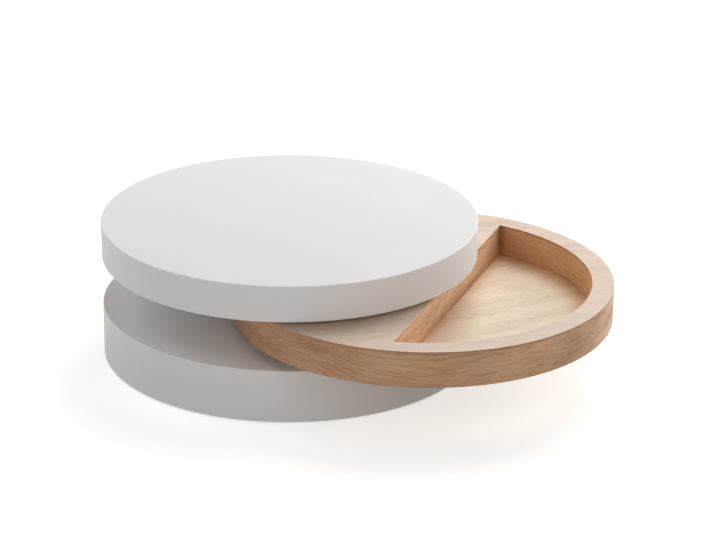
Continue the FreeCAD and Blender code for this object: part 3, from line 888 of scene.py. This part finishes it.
LAMPS = [
    # name, azimuth from +X in degrees, elevation in degrees, watts, colour
    ("back_high", 90.0, 55.0, 88.0, NEUTRAL),
    ("back_low", 57.0, 15.0, 66.0, NEUTRAL),
    ("back", 90.0, 35.0, 24.0, NEUTRAL),
    ("right_low", 0.0, 20.0, 20.0, NEUTRAL),
    ("left", 184.0, 35.0, 50.0, WARM),
    ("front_right", 330.0, 35.0, 28.0, WARM),
    ("front_low", 262.0, 15.0, 36.0, WARM),
]


def seeing_rays(tree):
    """1 for rays from the camera, off gloss and through glass, else 0."""
    path = tree.nodes.new("ShaderNodeLightPath")
    total = path.outputs["Is Camera Ray"]
    for name in ("Is Glossy Ray", "Is Transmission Ray"):
        adder = tree.nodes.new("ShaderNodeMath")
        adder.operation = "ADD"
        adder.use_clamp = True
        tree.links.new(total, adder.inputs[0])
        tree.links.new(path.outputs[name], adder.inputs[1])
        total = adder.outputs[0]
    return total


def sky():
    """A plain sky, seen by the camera and in gloss. The lamps give all the light."""
    world = bpy.data.worlds.new("studio")
    bpy.context.scene.world = world
    world.use_nodes = True
    tree = world.node_tree
    light = tree.nodes["Background"]
    light.inputs["Strength"].default_value = 0.0
    seen = tree.nodes.new("ShaderNodeBackground")
    seen.inputs["Color"].default_value = (*sky_colour, 1.0)
    mix = tree.nodes.new("ShaderNodeMixShader")
    tree.links.new(seeing_rays(tree), mix.inputs[0])
    tree.links.new(light.outputs[0], mix.inputs[1])
    tree.links.new(seen.outputs[0], mix.inputs[2])
    tree.links.new(mix.outputs[0], tree.nodes["World Output"].inputs["Surface"])


def floor_material():
    """A pale floor that glows where it is seen, and so is white, but keeps the shadow."""
    recipe = Recipe("studio_floor")
    recipe.shader.inputs["Base Color"].default_value = (*floor_colour, 1.0)
    recipe.shader.inputs["Roughness"].default_value = floor_roughness
    recipe.shader.inputs["Specular IOR Level"].default_value = 0.0
    x, y, z = recipe.split(recipe.position)
    distance = recipe.length(x, y)
    glow = recipe.spread(distance, glow_start, glow_end, floor_glow, far_glow, "SMOOTHSTEP")
    strength = recipe.times(seeing_rays(recipe.tree), glow)
    shine = recipe.add("Emission", {"Strength": strength})
    added = recipe.add("AddShader", {0: recipe.shader.outputs[0], 1: shine.outputs[0]})
    surface = recipe.tree.nodes["Material Output"].inputs["Surface"]
    recipe.tree.links.new(added.outputs[0], surface)
    return recipe.material


def floor():
    half = floor_size / 2
    corners = [(-half, -half, 0.0), (half, -half, 0.0), (half, half, 0.0), (-half, half, 0.0)]
    mesh = bpy.data.meshes.new("studio_floor")
    mesh.from_pydata(corners, [], [(0, 1, 2, 3)])
    mesh.materials.append(floor_material())
    piece = bpy.data.objects.new("studio_floor", mesh)
    bpy.context.scene.collection.objects.link(piece)


def direction(azimuth, elevation):
    """The direction at an azimuth from +X and an elevation, both in degrees."""
    turn, rise = math.radians(azimuth), math.radians(elevation)
    level = math.cos(rise)
    return Vector((math.cos(turn) * level, math.sin(turn) * level, math.sin(rise)))


def lamps():
    """Square lamps round the table, each facing the pivot at the deck's height."""
    aim = Vector((pivot_x, 0.0, deck_high.z))
    for name, azimuth, elevation, watts, colour in LAMPS:
        away = direction(azimuth, elevation)
        light = bpy.data.lights.new(name, "AREA")
        light.size = lamp_side
        light.energy = watts
        light.color = colour
        lamp = bpy.data.objects.new(name, light)
        lamp.location = aim + away * lamp_distance
        lamp.rotation_euler = away.to_track_quat("Z", "Y").to_euler()
        bpy.context.scene.collection.objects.link(lamp)


def camera():
    data = bpy.data.cameras.new("camera")
    data.lens = camera_lens
    data.sensor_fit = "HORIZONTAL"
    data.sensor_width = sensor_width
    seen_from = bpy.data.objects.new("camera", data)
    turn = Matrix.Rotation(camera_azimuth, 4, "Z")
    turn = turn @ Matrix.Rotation(QUARTER_TURN - camera_pitch, 4, "X")
    turn = turn @ Matrix.Rotation(camera_roll, 4, "Z")
    seen_from.matrix_world = Matrix.Translation(camera_place) @ turn
    bpy.context.scene.collection.objects.link(seen_from)
    bpy.context.scene.camera = seen_from


sky()
floor()
lamps()
camera()
bpy.context.scene.view_settings.view_transform = "Standard"
